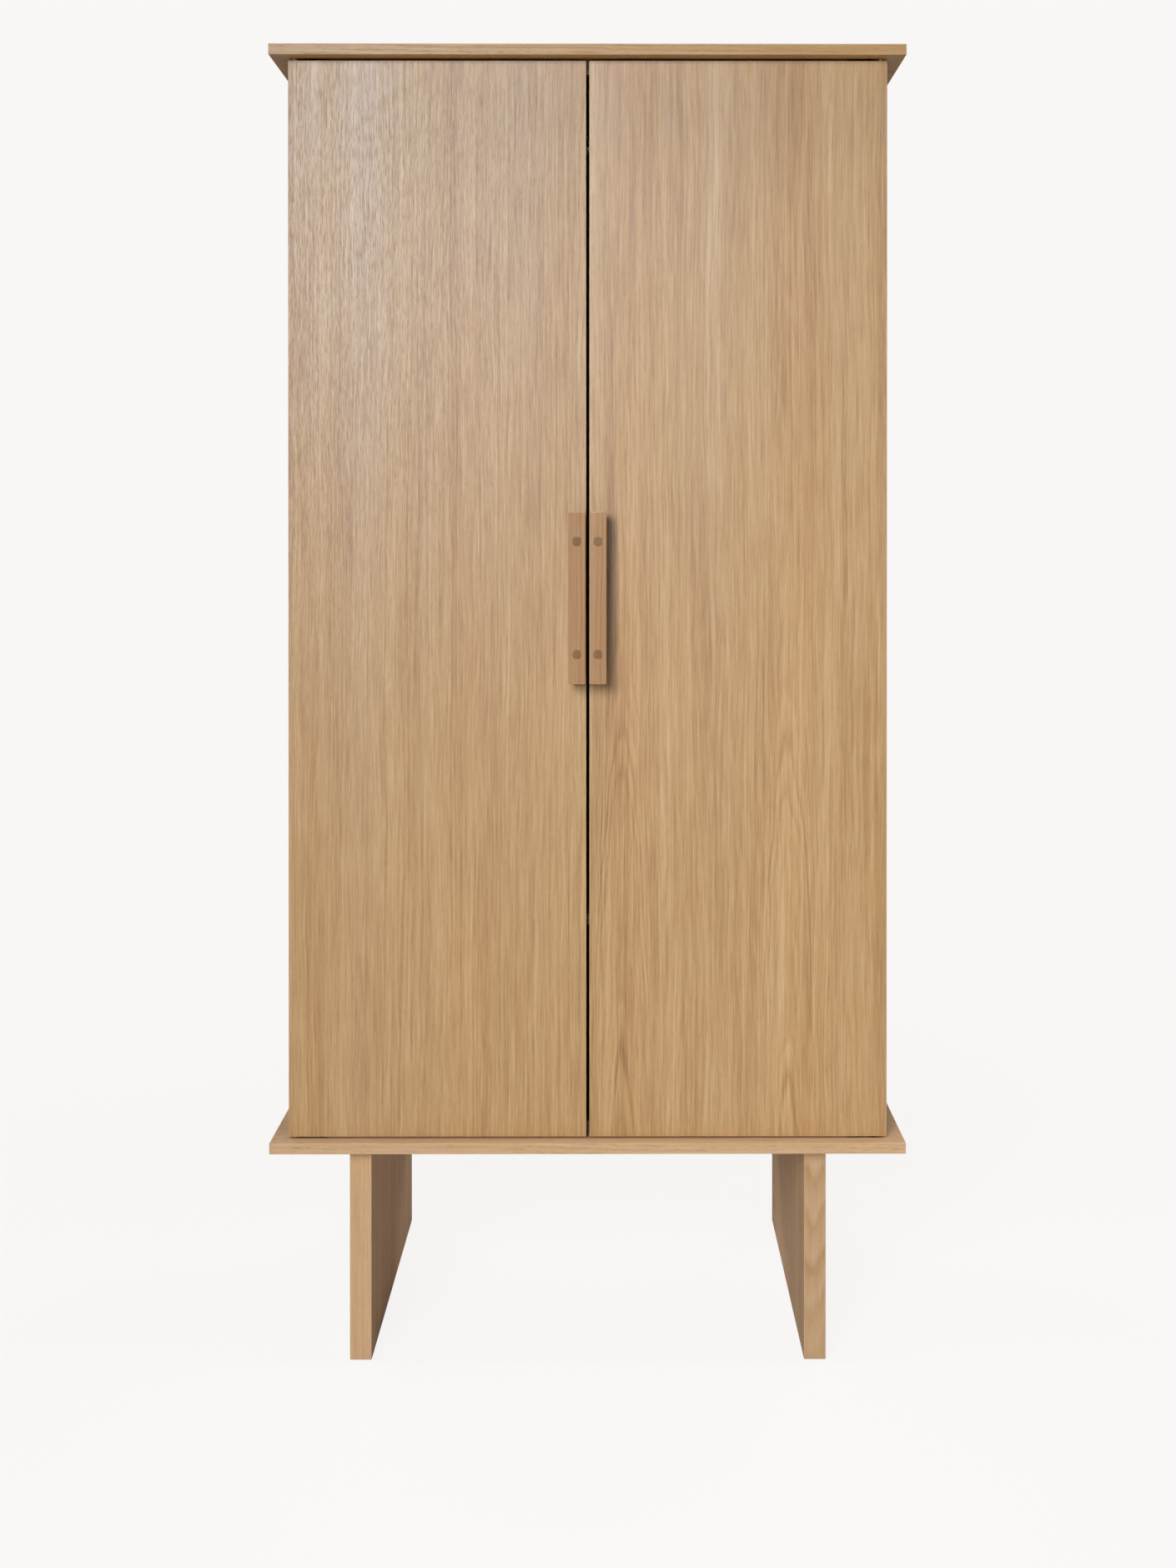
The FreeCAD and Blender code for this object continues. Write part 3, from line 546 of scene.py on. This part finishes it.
def plated_metal(name, dull, bright, lines, rough):
    """A metal with lines along X of the given width and length in millimetres."""
    across, along = lines
    material, tree = new_material(name)
    place = add(tree, "Mapping", {"Vector": add(tree, "TexCoord").outputs["Object"],
                                  "Scale": (1 / MM, 1 / MM, 1 / MM)})
    drawn = add(tree, "VectorMath", {0: place, 1: (1 / along, 1 / across, 1 / across)},
                operation="MULTIPLY")
    brushing = add(tree, "TexNoise", {"Vector": drawn, "Scale": 1.0, "Detail": 2.0})
    clouds = add(tree, "TexNoise", {"Vector": place, "Scale": 1 / metal_clouds, "Detail": 3.0})
    tone = total(tree, [weighted(tree, brushing, 0.7), weighted(tree, clouds, 0.9), 0.5])
    colour = add(tree, "ValToRGB", {"Fac": tone}, stops=[(0.2, dull), (0.8, bright)])
    shine = total(tree, [weighted(tree, brushing, 0.12), weighted(tree, clouds, 0.20), rough])
    bump = add(tree, "Bump", {"Height": brushing, "Strength": 0.12, "Distance": 0.05 * MM})
    shader = add(tree, "BsdfPrincipled", {"Base Color": colour, "Metallic": 1.0, "Roughness": shine,
                                          "Normal": bump})
    add(tree, "OutputMaterial", {"Surface": shader})
    return material


print("plating clouds %.0f mm" % metal_clouds)

# %% [markdown]
# ## Dress the fittings
# The CAD names a finish for each fitting. The loop puts the material in its place, slot by slot.

# %% Dress the fittings
fittings = {
    "beech_dowel": beech("turned_beech"),
    "catch_plastic": nylon("moulded_nylon"),
    # Zinc plating: cool light grey, blurred reflections, clouded
    "zinc_fitting": plated_metal("zinc_plated_steel", "#8E9196", "#B4B7B8", (0.8, 0.8), 0.38),
    # Nickel plating: warm light grey, the brightest of the fittings
    "steel": plated_metal("nickel_plated_steel", "#A19E97", "#C9C6BF", (0.6, 2.0), 0.26),
    # Brushed tube: reflections drawn out across fine lines along the rail
    "brushed_rail": plated_metal("brushed_steel_tube", "#9B9A96", "#C2C0BB", (0.5, 30.0), 0.32),
    # Satin brass: muted gold with faint lines
    "hinge_brass": plated_metal("satin_brass", "#9A7437", "#C39B55", (0.5, 12.0), 0.30),
}
fitted = 0
for part in nodes.values():
    for index, slot in enumerate(part.data.materials):
        finish = slot.name.split(".")[0]
        if finish in fittings:
            part.data.materials[index] = fittings[finish]
            fitted += 1
print("%d fittings dressed in %d materials" % (fitted, len(fittings)))

# %% [markdown]
# ## The floor
# The wardrobe is shown on plain off-white, as on a painted studio floor that runs into its wall. A large
# plane takes the shadow. A white floor would need more light than the wood can take, so the camera sees a
# mix of plain off-white and of lit floor, and far from the wardrobe plain off-white alone: no horizon
# shows. Reflections see half as much of the plain floor, and all other light sees the lit one, which is
# a little darker so that it doesn't brighten the legs from below.

# %% Floor
OFF_WHITE = "#F9F7F6"
PLAIN_NEAR = "#FFFDFC"
LIT_FLOOR = "#DAD8D6"
floor_reach = 9.0
shadow_reach = 0.8
plain_from = 2.0
lit_share = 0.1
plain_in_reflections = 0.5

floor_mesh = bpy.data.meshes.new("floor")
sheet = bmesh.new()
bmesh.ops.create_grid(sheet, x_segments=1, y_segments=1, size=floor_reach)
sheet.to_mesh(floor_mesh)
sheet.free()
floor = bpy.data.objects.new("floor", floor_mesh)
bpy.context.collection.objects.link(floor)

# Matt paint: an even off-white without a highlight
floor_paint, tree = new_material("matt_off_white_floor")
origin = add(tree, "TexCoord").outputs["Object"]
away = add(tree, "VectorMath", {0: origin}, operation="LENGTH").outputs["Value"]
near = add(tree, "MapRange", {0: away, 1: shadow_reach, 2: plain_from, 3: 1.0, 4: 0.0})
near_share = add(tree, "MapRange", {0: near, 1: 0.0, 2: 1.0, 3: 1.0, 4: 1 - lit_share})
rays = add(tree, "LightPath").outputs
mirrored = add(tree, "Math", {0: rays["Is Glossy Ray"], 1: plain_in_reflections}, operation="MULTIPLY")
seen = add(tree, "Math", {0: rays["Is Camera Ray"], 1: mirrored}, operation="MAXIMUM")
plain_share = add(tree, "Math", {0: seen, 1: near_share}, operation="MULTIPLY")
lit = add(tree, "BsdfDiffuse", {"Color": linear(LIT_FLOOR)})
plain_colour = add(tree, "Mix", {"Factor": near, "A": linear(OFF_WHITE), "B": linear(PLAIN_NEAR)},
                   data_type="RGBA")
plain = add(tree, "Emission", {"Color": plain_colour, "Strength": 1.0})
add(tree, "OutputMaterial", {"Surface": add(tree, "MixShader", {0: plain_share, 1: lit, 2: plain})})
floor_mesh.materials.append(floor_paint)
print("floor %.0f m across, plain from %.1f m" % (2 * floor_reach, plain_from))

# %% [markdown]
# ## The world
# The world is the studio's wall. The camera sees the same off-white as on the floor, so the two meet
# without a line. Reflections see a little of it, and the wood gets almost no light from it, because the
# lamps do that better: light from all around would take the shadows away.

# %% World
wall_in_reflections = 0.15
wall_light = 0.02

world = bpy.data.worlds.new("studio")
bpy.context.scene.world = world
world.use_nodes = True
tree = world.node_tree
tree.nodes.clear()
rays = add(tree, "LightPath").outputs
mirrored = add(tree, "Math", {0: rays["Is Glossy Ray"], 1: wall_in_reflections}, operation="MULTIPLY")
shown = add(tree, "Math", {0: rays["Is Camera Ray"], 1: rays["Is Transmission Ray"]}, operation="MAXIMUM")
strength = add(tree, "Math", {0: total(tree, [shown, mirrored]), 1: wall_light}, operation="MAXIMUM")
backdrop = add(tree, "Background", {"Color": linear(OFF_WHITE), "Strength": strength})
add(tree, "OutputWorld", {"Surface": backdrop})
print("wall at %.2f in reflections" % wall_in_reflections)

# %% [markdown]
# ## Lamps
# A tall softbox stands to the left of the camera. Its size is read from the handles' shadow, which is dark
# for a few millimetres and then fades over twenty. It is aimed low and to the right and its grid narrows
# the beam, so the upper left gets less of it. What makes the upper left pale is the lacquer, which mirrors
# a wide window with a pale blue sky. That window is too weak to light the wood, so it is a lamp that only
# reflections see, and the softbox is one that they don't. A narrow lamp overhead, nearly in the plane of
# the doors, lights the ledges and barely the doors. Two weak rim lamps stand behind, for the sides and
# the back.

# %% Lamps
def area_lamp(name, place, target, size, power, spread, colour="#FFFFFF"):
    lamp = bpy.data.lights.new(name, "AREA")
    lamp.shape = "RECTANGLE"
    lamp.size, lamp.size_y = size
    lamp.energy = power
    lamp.spread = math.radians(spread)
    lamp.color = linear(colour)[:3]
    holder = bpy.data.objects.new(name, lamp)
    holder.location = place
    aim = Vector(target) - Vector(place)
    holder.rotation_euler = aim.to_track_quat("-Z", "Y").to_euler()
    bpy.context.collection.objects.link(holder)
    print("%s %.1f m from its aim, %.0f W" % (name, aim.length, power))
    return holder


softbox = area_lamp("softbox", place=(-1.3, -4.6, 2.6), target=(1.15, -0.25, 0.25), size=(1.9, 2.5),
                    power=58.5, spread=85)
softbox.visible_glossy = False
overhead = area_lamp("overhead", place=(0.6, -0.45, 4.2), target=(0.6, -0.42, 0.3), size=(3.0, 0.4),
                     power=52.0, spread=180)
window = area_lamp("window", place=(-0.95, -3.0, 2.3), target=(-0.2, -0.25, 1.6), size=(2.1, 1.6),
                   power=102.0, spread=180, colour="#C8E4FF")
window.visible_diffuse = False
for side, name in ((-1, "left_rim"), (1, "right_rim")):
    area_lamp(name, place=(side * 2.4, 2.4, 3.4), target=(0.0, 0.1, 1.5), size=(1.6, 1.6),
              power=8.0, spread=45)

# %% [markdown]
# ## Camera
# The picture is taken from the front, level and a little right of the middle, at the height of the
# handles, with the lens shifted down to take in the legs: a camera that is tilted down instead would make
# the upright edges lean. The values were fitted to the corners of the boards, doors and legs.

# %% Camera
camera_data = bpy.data.cameras.new("camera")
camera_data.sensor_width = 36.0
camera_data.lens = 38.74
camera_data.shift_x = -0.019
camera_data.shift_y = -0.16
camera = bpy.data.objects.new("camera", camera_data)
camera.location = (0.0369, -2.7263, 1.2325)
camera.rotation_euler = (math.radians(90 - 0.245), 0.0, math.radians(-0.167))
bpy.context.collection.objects.link(camera)
bpy.context.scene.camera = camera
bpy.context.scene.view_settings.view_transform = "Standard"
